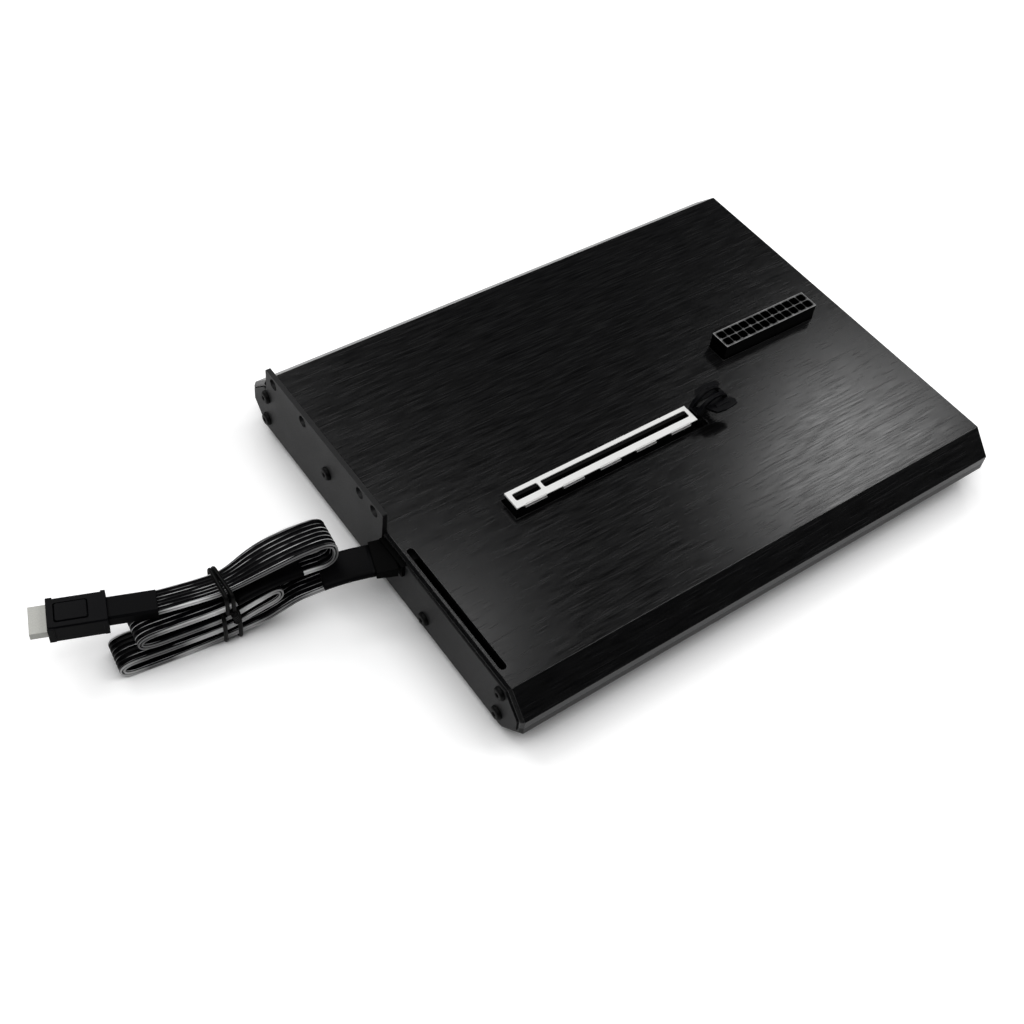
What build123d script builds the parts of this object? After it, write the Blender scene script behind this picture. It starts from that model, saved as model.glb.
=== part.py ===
from build123d import *
import math
import os

os.makedirs("parts", exist_ok=True)

# shell: two extruded halves with 45 degree shoulders
shell_length = 240.0
shell_width = 188.0
shell_height = 26.2
shell_chamfer = 9.5
shell_wall = 2.0
end_bevel = 1.2
part_line_height = 13.1
lip_thickness = 1.2
lip_height = 2.0
lip_depth = 2.4
lip_clearance = 0.1

# feet under the shell
foot_radius = 6.0
foot_height = 1.5
foot_inset_x = 20.0
foot_inset_y = 24.0

# end plates, set into the shell's ends
plate_thickness = 2.0
plate_proud = 0.6
plate_clearance = 0.3
bracket_from_back = 12.8
bracket_width = 86.0
bracket_rise = 9.7
bracket_corner = 0.8
bracket_notch_clearance = 0.3
supply_hole_radius = 2.5
supply_hole_rise = 6.2
wide_pair_spacing = 74.0
wide_pair_inset = 6.0
inner_pair_spacing = 41.5
inner_pair_inset = 16.0

# end screws and the channels that they run in
screw_shank_radius = 1.45
screw_shank_length = 9.0
screw_head_radius = 2.85
screw_crown_radius = 1.9
screw_head_height = 1.65
screw_socket_across = 2.0
screw_socket_depth = 1.0
channel_width = 5.8
channel_bore_radius = 1.5
web_overlap = 0.4
plate_hole_radius = 1.7
outer_screw_inset = 12.7
middle_screw_from_board = 10.5
upper_screw_drop = 6.0
lower_screw_drop = 18.6

# slot in the top for the tail of a card bracket
tail_slot_width = 3.0
tail_slot_length = 61.0
tail_slot_from_end = 2.2
tail_slot_from_front = 17.1

# card slot
slot_from_end = 46.1
slot_y = -20.0
slot_length = 89.0
slot_height = 11.0
slot_body_width = 7.6
slot_gap = 1.9
slot_short_gap = 11.65
slot_end_bar = 2.0
slot_key_bar = 1.6
slot_depth = 8.2
opening_clearance = 0.4

# steel cover on the card slot, with pressed ribs along both sides
cover_sheet = 0.4
cover_clearance = 0.05
cover_end_skirt = 0.8
cover_gap_width = 3.6
cover_gap_shift = 0.6
cover_gap_corner = 0.8
rib_length = 10.0
rib_end_margin = 3.7
rib_depth = 0.6
rib_height = 0.7
rib_drop = 0.5
rib_notch = 0.35
rib_count = 5

# contact banks on both walls of the card slot
contact_width = 0.35
contact_height = 5.0
contact_lift = 0.6
contact_end_gap = 0.5

# tower at the slot's right end, with ears for the latch
tower_length = 6.0
tower_pocket = 1.2
ear_thickness = 1.3
ear_radius = 1.6
latch_pivot_offset = 2.9
latch_pivot_rise = 1.4
latch_pin_radius = 0.8
latch_bore_clearance = 0.05
latch_side_clearance = 0.2

# card latch: lengths along the dock start at its pivot, heights at the shell's top
latch_barrel_radius = 2.1
neck_width = 3.2
neck_rise = 5.0
rail_foot_rise = 4.2
rail_foot_length = 2.8
rail_peak_reach = 3.5
rail_peak_rise = 11.3
rail_end_reach = 13.2
rail_end_rise = 9.1
rail_depth = 1.6
rail_inner = 1.4
rail_outer = 2.9
wing_rise = 8.0
wing_thickness = 1.2
wing_root_reach = 2.0
wing_root_width = 2.6
wing_shoulder_reach = 4.4
wing_shoulder_width = 7.0
wing_edge_reach = 9.1
wing_edge_width = 7.7
wing_corner_reach = 15.2
wing_tip_reach = 15.9
wing_tip_width = 4.8
ridge_length = 6.5
ridge_width = 1.4
ridge_height = 0.6
ridge_offset = 4.5

# power header: two rows of keyed cells
header_from_right = 43.0
header_y = 4.2
header_length = 51.6
header_width = 9.4
header_height = 13.4
cell_columns = 12
cell_pitch = 4.2
cell_side = 3.6
cell_key_cut = 1.0
cell_depth = 9.4
header_pin_side = 1.1
header_pin_height = 9.0
header_pin_tail = 3.0
ledge_length = 13.6
ledge_depth = 1.2
ledge_height = 2.2
ledge_drop = 1.6
ledge_offset = -4.6
end_tab_depth = 0.6
end_tab_width = 4.0
end_tab_height = 1.4
end_tab_rise = 2.6

# main board, hung under the top on spacers
board_drop = 6.0
board_thickness = 1.6
board_left_gap = 9.0
board_right_gap = 12.0
board_front_margin = 22.0
board_back_margin = 19.8
spacer_across = 5.0
spacer_bore_radius = 1.25
spacer_inset = 5.0
board_hole_radius = 1.6
board_screw_radius = 1.2
board_screw_head_radius = 2.6
board_screw_head_height = 1.6
board_screw_reach = 3.0

# parts on the board
capacitor_length = 7.3
capacitor_width = 4.3
capacitor_height = 2.8
capacitor_pitch = 9.0
capacitor_count = 3
capacitor_from_tower = 24.0
capacitor_from_slot = 8.5
receptacle_inset = 1.5
receptacle_length = 10.0
receptacle_width = 15.2
receptacle_height = 3.8
inner_plug_width = 14.0
inner_plug_height = 3.2
inner_plug_lift = 1.2

# cable exit through the left plate
exit_from_bracket = 8.0
exit_drop = 5.3
exit_notch_width = 16.0
exit_notch_depth = 5.8
grommet_clearance = 0.1
grommet_inside = 2.0
grommet_outside = 1.4
nose_length = 8.0
nose_width = 15.0
nose_height = 4.6
nose_end_width = 14.6
nose_end_height = 3.4

# flat cable; its hank is measured from the plate and the exit
ribbon_width = 13.6
ribbon_thickness = 1.5
sleeve_width = 14.2
sleeve_thickness = 3.0
lead_yaw = 161.7
hank_from_plate = 18.4
hank_from_exit = 14.1
hank_yaw = 173.1
low_turn_radius = 4.25
low_turn_reach = 83.2
middle_turn_radius = 4.1
middle_turn_reach = 75.4
middle_turn_height = 16.2
top_turn_radius = 7.1
top_turn_overhang = 0.6
top_turn_height = 29.5
inner_fold_at = 20.2
inner_fold_bottom = 13.2
shoulder_at = 27.0
shoulder_height = 33.2
waist_bottom = 1.4
waist_top = 26.6
waist_end_at = 49.0
tie_at = 41.3
tie_width = 3.2
tie_thickness = 0.6
tail_at = 40.0
tail_yaw = 165.2
tail_width = 9.2
tail_end_lift = 0.6

# plug at the cable's far end
plug_from_plate = 81.7
plug_from_exit = 25.1
plug_yaw = 159.6
boot_length = 16.9
boot_width = 9.8
boot_height = 5.2
boot_edge = 0.8
plug_length = 20.1
plug_width = 13.8
plug_height = 8.0
plug_edge = 0.5
plug_side_recess = 0.5
front_collar_length = 2.2
front_collar_height = 7.2
rear_collar_length = 1.6
rear_collar_height = 7.0
tongue_length = 6.2
tongue_inside = 5.0
tongue_width = 11.6
tongue_height = 3.0
tongue_sheet = 0.4
card_thickness = 1.0
card_width = 10.0
card_length = 10.4
card_setback = 0.6
button_length = 11.0
button_width = 7.6
button_proud = 0.3
button_depth = 1.6
button_clearance = 0.3
button_travel = 0.6
button_from_front = 8.2
button_corner = 0.6
button_edge = 0.25

# heights and planes that follow from the sizes above
shell_bottom = foot_height
shell_top = shell_bottom + shell_height
shell_middle = shell_bottom + shell_height / 2
part_line = shell_bottom + part_line_height
plate_outer_x = shell_length / 2 + plate_proud
plate_inner_x = plate_outer_x - plate_thickness
board_top = shell_top - board_drop
board_bottom = board_top - board_thickness
ceiling = shell_top - shell_wall
section = Plane(origin=(0, 0, shell_middle), x_dir=(0, 1, 0), z_dir=(1, 0, 0))
corner_loss = 2 - math.sqrt(2)

# places on the shell, from its ends and its back
slot_left = -shell_length / 2 + slot_from_end
slot_right = slot_left + slot_length
slot_x = slot_left + slot_length / 2
tower_end = slot_right + tower_length
header_x = shell_length / 2 - header_from_right
board_left = -shell_length / 2 + board_left_gap
board_right = shell_length / 2 - board_right_gap
board_front = slot_y - board_front_margin
board_back = header_y + board_back_margin
bracket_back = shell_width / 2 - bracket_from_back
bracket_front = bracket_back - bracket_width
exit_y = bracket_front - exit_from_bracket
exit_z = shell_top - exit_drop


def octagon(inset):
    outline = Rectangle(shell_width - 2 * inset, shell_height - 2 * inset)
    return chamfer(outline.vertices(), shell_chamfer - inset * corner_loss)


def block(x0, x1, y0, y1, z0, z1):
    centre = Pos((x0 + x1) / 2, (y0 + y1) / 2, (z0 + z1) / 2)
    return centre * Box(x1 - x0, y1 - y0, z1 - z0)


def rod_x(x0, x1, y, z, radius):
    return Pos((x0 + x1) / 2, y, z) * Rot(0, 90, 0) * Cylinder(radius, x1 - x0)


def rod_y(y0, y1, x, z, radius):
    return Pos(x, (y0 + y1) / 2, z) * Rot(90, 0, 0) * Cylinder(radius, y1 - y0)


def rod_z(z0, z1, x, y, radius):
    return Pos(x, y, (z0 + z1) / 2) * Cylinder(radius, z1 - z0)


def upright(x, y, yaw):
    heading = (math.cos(math.radians(yaw)), math.sin(math.radians(yaw)), 0)
    return Plane(origin=(x, y, 0), x_dir=heading, z_dir=(heading[1], -heading[0], 0))


def run_radii(points):
    steps = [Vector(*b) - Vector(*a) for a, b in zip(points, points[1:])]
    radii = []
    for before, after in zip(steps, steps[1:]):
        half_turn = math.radians(before.get_angle(after)) / 2
        radii.append(0.45 * min(before.length, after.length) / math.tan(half_turn))
    return radii


def flat_cable(plane, points, width, thickness):
    radii = run_radii(points)
    print("cable radii", [round(radius, 1) for radius in radii])
    path = FilletPolyline(*points, radius=radii)
    start = Plane(origin=path @ 0, x_dir=(0, 0, 1), z_dir=path % 0)
    return plane * sweep(start * Rectangle(width, thickness), path)


# shell halves
hull = extrude(section * octagon(0), shell_length / 2, both=True)
end_faces = [hull.faces().sort_by(Axis.X)[0], hull.faces().sort_by(Axis.X)[-1]]
hull = chamfer([edge for face in end_faces for edge in face.edges()], end_bevel)
cavity = extrude(section * octagon(shell_wall), shell_length, both=True)
tube = hull - cavity
half_space = Box(2 * shell_length, 2 * shell_width, shell_height)
top_shell = tube & (Pos(0, 0, part_line + shell_height / 2) * half_space)
bottom_shell = tube & (Pos(0, 0, part_line - shell_height / 2) * half_space)

outer_screw_y = shell_width / 2 - outer_screw_inset
middle_screw_y = board_back + middle_screw_from_board
upper_screws = [(y, shell_top - upper_screw_drop) for y in (outer_screw_y, middle_screw_y, -outer_screw_y)]
lower_screws = [(y, shell_top - lower_screw_drop) for y in (outer_screw_y, -middle_screw_y, -outer_screw_y)]
channel_half = channel_width / 2
for y, z in upper_screws:
    top_shell += block(-plate_inner_x, plate_inner_x, y - channel_half, y + channel_half,
                       z - channel_half, ceiling + web_overlap)
for y, z in lower_screws:
    bottom_shell += block(-plate_inner_x, plate_inner_x, y - channel_half, y + channel_half,
                          shell_bottom + shell_wall - web_overlap, z + channel_half)
for y, z in upper_screws:
    top_shell -= rod_x(-shell_length, shell_length, y, z, channel_bore_radius)
for y, z in lower_screws:
    bottom_shell -= rod_x(-shell_length, shell_length, y, z, channel_bore_radius)

lip_reach = plate_inner_x - plate_clearance
lip_outer = shell_width / 2 - shell_wall - lip_clearance
for side in (1, -1):
    lip_y = side * (lip_outer - lip_thickness / 2)
    lip = Pos(0, lip_y, part_line + (lip_height - lip_depth) / 2)
    bottom_shell += lip * Box(2 * lip_reach, lip_thickness, lip_height + lip_depth)
    bridge_width = lip_clearance + web_overlap
    bridge = Pos(0, side * (lip_outer + bridge_width / 2), part_line - lip_depth / 2)
    bottom_shell += bridge * Box(2 * lip_reach, bridge_width, lip_depth)

# openings in the top
cover_width = slot_body_width + 2 * (cover_sheet + cover_clearance)
slot_opening_half = cover_width / 2 + rib_depth + opening_clearance
top_shell -= block(slot_left - opening_clearance, tower_end + opening_clearance,
                   slot_y - slot_opening_half, slot_y + slot_opening_half,
                   board_top, shell_top + 1)
top_shell -= Pos(header_x, header_y, shell_top) * Box(header_length + 2 * opening_clearance,
                                                      header_width + 2 * opening_clearance, 2 * board_drop)
tail_slot_x = -shell_length / 2 + tail_slot_from_end + tail_slot_width / 2
tail_slot_y = -shell_width / 2 + tail_slot_from_front + tail_slot_length / 2
tail_slot = SlotOverall(tail_slot_length, tail_slot_width, rotation=90)
top_shell -= Pos(tail_slot_x, tail_slot_y, ceiling - 1) * extrude(tail_slot, shell_wall + 2)
top_shell -= block(-shell_length, -plate_inner_x + bracket_notch_clearance,
                   bracket_front - bracket_notch_clearance, bracket_back + bracket_notch_clearance,
                   ceiling - 1, shell_top + 1)

# end plates
plate_outline = octagon(shell_wall + plate_clearance)
bracket_top = shell_top + bracket_rise
bracket_height = bracket_top - shell_middle
bracket_outline = Pos((bracket_front + bracket_back) / 2, bracket_height / 2) * Rectangle(bracket_width, bracket_height)
bracket_outline = fillet(bracket_outline.vertices().sort_by(Axis.Y)[-2:], bracket_corner)
right_end_plate = Pos(plate_inner_x, 0, 0) * extrude(section * plate_outline, plate_thickness)
left_end_plate = Pos(-plate_outer_x, 0, 0) * extrude(section * (plate_outline + bracket_outline), plate_thickness)
plate_top = shell_top - shell_wall - plate_clearance
exit_notch = block(-shell_length, -plate_inner_x + 1, exit_y - exit_notch_width / 2, exit_y + exit_notch_width / 2,
                   plate_top - exit_notch_depth, plate_top + 1)
left_end_plate -= exit_notch
for y, z in upper_screws + lower_screws:
    right_end_plate -= rod_x(-shell_length, shell_length, y, z, plate_hole_radius)
    left_end_plate -= rod_x(-shell_length, shell_length, y, z, plate_hole_radius)
supply_hole_z = shell_top + supply_hole_rise
for inset, spacing in ((wide_pair_inset, wide_pair_spacing), (inner_pair_inset, inner_pair_spacing)):
    for y in (bracket_front + inset, bracket_front + inset + spacing):
        left_end_plate -= rod_x(-shell_length, shell_length, y, supply_hole_z, supply_hole_radius)


# button-head screws in both ends
def end_screw(y, z):
    head = Cone(screw_head_radius, screw_crown_radius, screw_head_height, align=(Align.CENTER, Align.CENTER, Align.MIN))
    socket = RegularPolygon(screw_socket_across / 2, 6, major_radius=False)
    head -= Pos(0, 0, screw_head_height - screw_socket_depth) * extrude(socket, screw_head_height)
    shank = Pos(0, 0, -screw_shank_length / 2) * Cylinder(screw_shank_radius, screw_shank_length)
    return Pos(plate_outer_x, y, z) * Rot(0, 90, 0) * (head + shank)


right_end_screws = [end_screw(y, z) for y, z in upper_screws + lower_screws]
left_end_screws = [screw.rotate(Axis.Z, 180) for screw in [end_screw(-y, z) for y, z in upper_screws + lower_screws]]

# feet
foot_x = shell_length / 2 - foot_inset_x
foot_y = shell_width / 2 - foot_inset_y
rubber_feet = [rod_z(0, foot_height, x, y, foot_radius) for x in (-foot_x, foot_x) for y in (-foot_y, foot_y)]

# main board, spacers and their screws
main_board = block(board_left, board_right, board_front, board_back, board_bottom, board_top)
spacer_places = [(x, y) for x in (board_left + spacer_inset, board_right - spacer_inset)
                 for y in (board_front + spacer_inset, board_back - spacer_inset)]
board_spacers = []
board_screws = []
for x, y in spacer_places:
    hexagon = RegularPolygon(spacer_across / 2, 6, major_radius=False) - Circle(spacer_bore_radius)
    board_spacers.append(Pos(x, y, board_top) * extrude(hexagon, ceiling - board_top))
    main_board -= rod_z(board_bottom - 1, board_top + 1, x, y, board_hole_radius)
    head = rod_z(board_bottom - board_screw_head_height, board_bottom, x, y, board_screw_head_radius)
    board_screws.append(head + rod_z(board_bottom, board_top + board_screw_reach, x, y, board_screw_radius))

# card slot: body with two gaps, and the tower with ears for the latch
body_length = slot_length - 2 * (cover_sheet + cover_clearance)
body_height = slot_height - cover_sheet - cover_clearance
body_top = board_top + body_height
body_right = slot_x + body_length / 2
slot_housing = Pos(slot_x, slot_y, board_top + body_height / 2) * Box(body_length, slot_body_width, body_height)
slot_long_gap = slot_length - slot_end_bar - slot_short_gap - 2 * slot_key_bar
short_gap_x = slot_left + slot_end_bar + slot_short_gap / 2
long_gap_x = slot_right - slot_key_bar - slot_long_gap / 2
gaps = [(short_gap_x, slot_short_gap), (long_gap_x, slot_long_gap)]
for x, length in gaps:
    slot_housing -= Pos(x, slot_y, body_top - slot_depth / 2) * Box(length, slot_gap, slot_depth)
pivot_x = slot_right + latch_pivot_offset
pivot_z = shell_top + latch_pivot_rise
slot_housing += block(body_right, tower_end, slot_y - slot_body_width / 2, slot_y + slot_body_width / 2,
                      board_top, shell_top - tower_pocket)
ear_middle = slot_body_width / 2 - ear_thickness / 2
for side in (1, -1):
    ear_y = slot_y + side * ear_middle
    slot_housing += block(pivot_x - ear_radius, pivot_x + ear_radius, ear_y - ear_thickness / 2,
                          ear_y + ear_thickness / 2, board_top, pivot_z)
    slot_housing += rod_y(ear_y - ear_thickness / 2, ear_y + ear_thickness / 2, pivot_x, pivot_z, ear_radius)
pin_reach = slot_body_width / 2
slot_housing -= rod_y(slot_y - pin_reach - 1, slot_y + pin_reach + 1, pivot_x, pivot_z, latch_pin_radius)
latch_pin = rod_y(slot_y - pin_reach, slot_y + pin_reach, pivot_x, pivot_z, latch_pin_radius)

# contact banks
slot_contacts = []
for x, length in gaps:
    for side in (1, -1):
        bank = Box(length - 2 * contact_end_gap, contact_width, contact_height)
        bank_z = body_top - slot_depth + contact_lift + contact_height / 2
        slot_contacts.append(Pos(x, slot_y + side * (slot_gap - contact_width) / 2, bank_z) * bank)

# steel cover: top sheet, end skirt and side tabs, each pressed out into a rib
cover_top = board_top + slot_height
tab_bottom = cover_top - rib_drop - rib_height
slot_shield = block(slot_left, slot_right, slot_y - cover_width / 2, slot_y + cover_width / 2,
                    cover_top - cover_sheet, cover_top)
slot_shield += block(slot_left, slot_left + cover_sheet, slot_y - cover_width / 2, slot_y + cover_width / 2,
                     cover_top - cover_end_skirt, cover_top)
for x, length in gaps:
    opening = RectangleRounded(length, cover_gap_width, cover_gap_corner)
    slot_shield -= Pos(x, slot_y + cover_gap_shift, cover_top - 2 * cover_sheet) * extrude(opening, 3 * cover_sheet)
rib_pitch = (slot_length - 2 * rib_end_margin - rib_length) / (rib_count - 1)
front_ribs = [(slot_x + (i - (rib_count - 1) / 2) * rib_pitch, -1) for i in range(rib_count)]
back_ribs = [(x + rib_pitch / 2, 1) for x, side in front_ribs[:-1]]
for x, side in front_ribs + back_ribs:
    edge_y = slot_y + side * cover_width / 2
    slot_shield -= Pos(x, edge_y, cover_top) * Box(rib_length, 2 * rib_notch, cover_sheet)
    tab = Pos(x, edge_y - side * cover_sheet / 2, (tab_bottom + cover_top - cover_sheet / 2) / 2)
    slot_shield += tab * Box(rib_length, cover_sheet, cover_top - cover_sheet / 2 - tab_bottom)
    rib = Pos(x, edge_y + side * rib_depth / 2, tab_bottom + rib_height / 2)
    slot_shield += rib * Box(rib_length, rib_depth, rib_height)

# card latch: barrel and neck on the pivot, two arched rails with a window between, two wings
latch_half = slot_body_width / 2 - ear_thickness - latch_side_clearance
slot_latch = rod_y(slot_y - latch_half, slot_y + latch_half, pivot_x, pivot_z, latch_barrel_radius)
slot_latch += block(pivot_x - neck_width / 2, pivot_x + neck_width / 2, slot_y - latch_half,
                    slot_y + latch_half, pivot_z, shell_top + neck_rise)
rail_foot = (pivot_x - rail_foot_length / 2, shell_top + rail_foot_rise)
rail_heel = (pivot_x + rail_foot_length / 2, shell_top + rail_foot_rise)
rail_peak = (pivot_x + rail_peak_reach, shell_top + rail_peak_rise)
rail_crook = (rail_peak[0] + rail_depth / 2, rail_peak[1] - rail_depth)
rail_end = (pivot_x + rail_end_reach, shell_top + rail_end_rise)
rail_toe = (rail_end[0], rail_end[1] - rail_depth)
rail_outline = [
    ThreePointArc(rail_foot, rail_peak, rail_end),
    Line(rail_end, rail_toe),
    ThreePointArc(rail_toe, rail_crook, rail_heel),
    Line(rail_heel, rail_foot),
]
rail = extrude(Plane.XZ * make_face(Curve() + rail_outline), rail_outer - rail_inner)
for side in (1, -1):
    rail_back = slot_y + side * (rail_outer + rail_inner) / 2 + (rail_outer - rail_inner) / 2
    slot_latch += Pos(0, rail_back, 0) * rail
slot_latch += block(rail_end[0] - rail_depth, rail_end[0], slot_y - rail_outer, slot_y + rail_outer,
                    rail_toe[1], rail_end[1])
wing_top = shell_top + wing_rise
for side in (1, -1):
    wing_outline = Polyline(
        (pivot_x + wing_root_reach, slot_y + side * rail_inner),
        (pivot_x + wing_root_reach, slot_y + side * wing_root_width),
        (pivot_x + wing_shoulder_reach, slot_y + side * wing_shoulder_width),
        (pivot_x + wing_edge_reach, slot_y + side * wing_edge_width),
        (pivot_x + wing_corner_reach, slot_y + side * wing_shoulder_width),
        (pivot_x + wing_tip_reach, slot_y + side * wing_tip_width),
        (rail_end[0], slot_y + side * rail_outer),
        (rail_end[0], slot_y + side * rail_inner),
        close=True,
    )
    slot_latch += Pos(0, 0, wing_top - wing_thickness) * extrude(make_face(wing_outline), wing_thickness, dir=(0, 0, 1))
    ridge = Pos(pivot_x + wing_edge_reach, slot_y + side * ridge_offset, wing_top + ridge_height / 2)
    slot_latch += ridge * Box(ridge_length, ridge_width, ridge_height)
slot_latch -= rod_y(slot_y - pin_reach, slot_y + pin_reach, pivot_x, pivot_z, latch_pin_radius + latch_bore_clearance)

# power header: cells with two front corners cut are the keyed ones
header_top = board_top + header_height
power_header = Pos(header_x, header_y, board_top + header_height / 2) * Box(header_length, header_width, header_height)
header_pins = []
for column in range(cell_columns):
    for row in (0, 1):
        x = header_x + (column - (cell_columns - 1) / 2) * cell_pitch
        y = header_y + (row - 0.5) * cell_pitch
        cell = Rectangle(cell_side, cell_side)
        keyed = (column % 4 in (1, 2)) if row == 0 else (column % 4 in (0, 3))
        if keyed:
            cell = chamfer(cell.vertices().sort_by(Axis.Y)[:2], cell_key_cut)
        power_header -= Pos(x, y, header_top - cell_depth) * extrude(cell, cell_depth + 1)
        pin_z = board_bottom - header_pin_tail
        pin_length = board_top + header_pin_height - pin_z
        pin = Pos(x, y, pin_z + pin_length / 2) * Box(header_pin_side, header_pin_side, pin_length)
        header_pins.append(pin)
        power_header -= pin
        main_board -= pin
ledge_z = header_top - ledge_drop - ledge_height / 2
power_header += Pos(header_x + ledge_offset, header_y + (header_width + ledge_depth) / 2, ledge_z) * Box(
    ledge_length, ledge_depth, ledge_height)
for side in (1, -1):
    end_tab = Pos(header_x + side * (header_length + end_tab_depth) / 2, header_y, shell_top + end_tab_rise)
    power_header += end_tab * Box(end_tab_depth, end_tab_width, end_tab_height)

# capacitors and the link connector on the board
capacitor_x = tower_end + capacitor_from_tower
board_capacitors = [Pos(capacitor_x + i * capacitor_pitch, slot_y + capacitor_from_slot, board_top + capacitor_height / 2)
                    * Box(capacitor_length, capacitor_width, capacitor_height) for i in range(capacitor_count)]
grommet_inner_x = -plate_inner_x + grommet_inside
receptacle_left = board_left + receptacle_inset
link_receptacle = block(receptacle_left, receptacle_left + receptacle_length, exit_y - receptacle_width / 2,
                        exit_y + receptacle_width / 2, board_top, board_top + receptacle_height)
inner_plug_bottom = exit_z - inner_plug_height / 2 + inner_plug_lift
inner_plug = block(grommet_inner_x, receptacle_left, exit_y - inner_plug_width / 2, exit_y + inner_plug_width / 2,
                   inner_plug_bottom, inner_plug_bottom + inner_plug_height)

# grommet in the plate's notch, with a nose that points along the cable
lead_plane = upright(-plate_outer_x, exit_y, lead_yaw)
grommet_half = exit_notch_width / 2 - grommet_clearance
cable_grommet = block(-plate_outer_x - grommet_outside, grommet_inner_x, exit_y - grommet_half, exit_y + grommet_half,
                      plate_top - exit_notch_depth + grommet_clearance, plate_top)
nose_root = Plane(origin=(0, exit_z, 0), x_dir=(0, 0, 1), z_dir=(1, 0, 0))
nose = loft([nose_root * Rectangle(nose_width, nose_height),
             nose_root.offset(nose_length) * Rectangle(nose_end_width, nose_end_height)])
cable_grommet += lead_plane * nose

# sleeve and first stretch of the flat cable, from the nose down into the hank
sleeve_points = [(nose_length, exit_z), (16, 22.1), (24, 20.6), (31, 18.2)]
lead_points = [(31, 18.2), (37, 16.14), (43, 11.4), (50, 6.6)]
cable_sleeve = flat_cable(lead_plane, sleeve_points, sleeve_width, sleeve_thickness)
cable_lead = flat_cable(lead_plane, lead_points, ribbon_width, ribbon_thickness)

# hank: outer shape of the folded cable, seen from the side
hank_plane = upright(-plate_outer_x - hank_from_plate, exit_y + hank_from_exit, hank_yaw)
low_centre = low_turn_reach - low_turn_radius
middle_centre = middle_turn_reach - middle_turn_radius
middle_bottom = middle_turn_height - middle_turn_radius
middle_top = middle_turn_height + middle_turn_radius
top_centre = top_turn_radius - top_turn_overhang
top_bottom = top_turn_height - top_turn_radius
top_top = top_turn_height + top_turn_radius
hank_outline = [
    Polyline((top_centre, top_bottom), (inner_fold_at, inner_fold_bottom), (tie_at, waist_bottom), (low_centre, 0)),
    ThreePointArc((low_centre, 0), (low_turn_reach, low_turn_radius), (low_centre, 2 * low_turn_radius)),
    Line((low_centre, 2 * low_turn_radius), (middle_centre, middle_bottom)),
    ThreePointArc((middle_centre, middle_bottom), (middle_turn_reach, middle_turn_height), (middle_centre, middle_top)),
    Polyline((middle_centre, middle_top), (waist_end_at, middle_top), (tie_at + tie_width / 2, waist_top)),
    Polyline((tie_at + tie_width / 2, waist_top), (shoulder_at, shoulder_height), (top_centre, top_top)),
    ThreePointArc((top_centre, top_top), (-top_turn_overhang, top_turn_height), (top_centre, top_bottom)),
]
hank_face = make_face(Curve() + hank_outline)
cable_hank = hank_plane * extrude(hank_face, ribbon_width / 2, both=True)
tie_band = Pos(tie_at, shell_height, 0) * Box(tie_width, 4 * shell_height, 4 * ribbon_width)
tie_face = offset(hank_face, tie_thickness, kind=Kind.INTERSECTION)
tie_ring = extrude(tie_face, ribbon_width / 2 + tie_thickness, both=True)
tie_ring -= extrude(hank_face, ribbon_width / 2, both=True)
cable_tie = hank_plane * (tie_ring & tie_band)

# last stretch, from the tie to the plug, whose boot lies on the hank
plug_axis_height = middle_top + boot_height / 2
tail_start = hank_plane.from_local_coords((tail_at, 0, 0))
tail_plane = upright(tail_start.X, tail_start.Y, tail_yaw)
tail_points = [(0, 26.0), (10, 24.6), (25.8, plug_axis_height + tail_end_lift)]
cable_tail = flat_cable(tail_plane, tail_points, tail_width, ribbon_thickness)

# plug: boot, body between two collars, steel tongue, card inside and a press panel
plug_place = Pos(-plate_outer_x - plug_from_plate, exit_y + plug_from_exit, plug_axis_height) * Rot(0, 0, plug_yaw)
boot = Pos(boot_length / 2, 0, 0) * Box(boot_length, boot_width, boot_height)
plug_boot = plug_place * chamfer(boot.edges().filter_by(Axis.X), boot_edge)
plug_end = boot_length + plug_length
core = Box(plug_length, plug_width - 2 * plug_side_recess, plug_height)
core = chamfer(core.faces().sort_by(Axis.Z)[-1].edges().filter_by(Axis.X), plug_edge)
body = Pos(boot_length + plug_length / 2, 0, 0) * core
body += Pos(plug_end - front_collar_length / 2, 0, 0) * Box(front_collar_length, plug_width, front_collar_height)
body += Pos(boot_length + rear_collar_length / 2, 0, 0) * Box(rear_collar_length, plug_width, rear_collar_height)
tongue_room = tongue_inside + tongue_length
tongue_middle = plug_end + tongue_length - tongue_room / 2
tongue_block = Pos(tongue_middle, 0, 0) * Box(tongue_room, tongue_width, tongue_height)
tongue_hollow = Pos(tongue_middle, 0, 0) * Box(2 * tongue_room, tongue_width - 2 * tongue_sheet,
                                               tongue_height - 2 * tongue_sheet)
body -= tongue_block
button_place = Pos(plug_end - button_from_front, 0, plug_height / 2 - button_depth)
button_sketch = chamfer(Rectangle(button_length, button_width).vertices(), button_corner)
pocket_sketch = chamfer(Rectangle(button_length + 2 * button_clearance, button_width + 2 * button_clearance).vertices(),
                        button_corner)
body -= button_place * Pos(0, 0, -button_travel) * extrude(pocket_sketch, plug_height)
plug_body = plug_place * body
plug_tongue = plug_place * (tongue_block - tongue_hollow)
card_x = plug_end + tongue_length - card_setback - card_length / 2
plug_card = plug_place * Pos(card_x, 0, -(tongue_height / 2 - tongue_sheet - card_thickness / 2)) * Box(
    card_length, card_width, card_thickness)
button = extrude(button_sketch, button_depth + button_proud)
button = chamfer(button.faces().sort_by(Axis.Z)[-1].edges(), button_edge)
plug_button = plug_place * button_place * button

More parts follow.
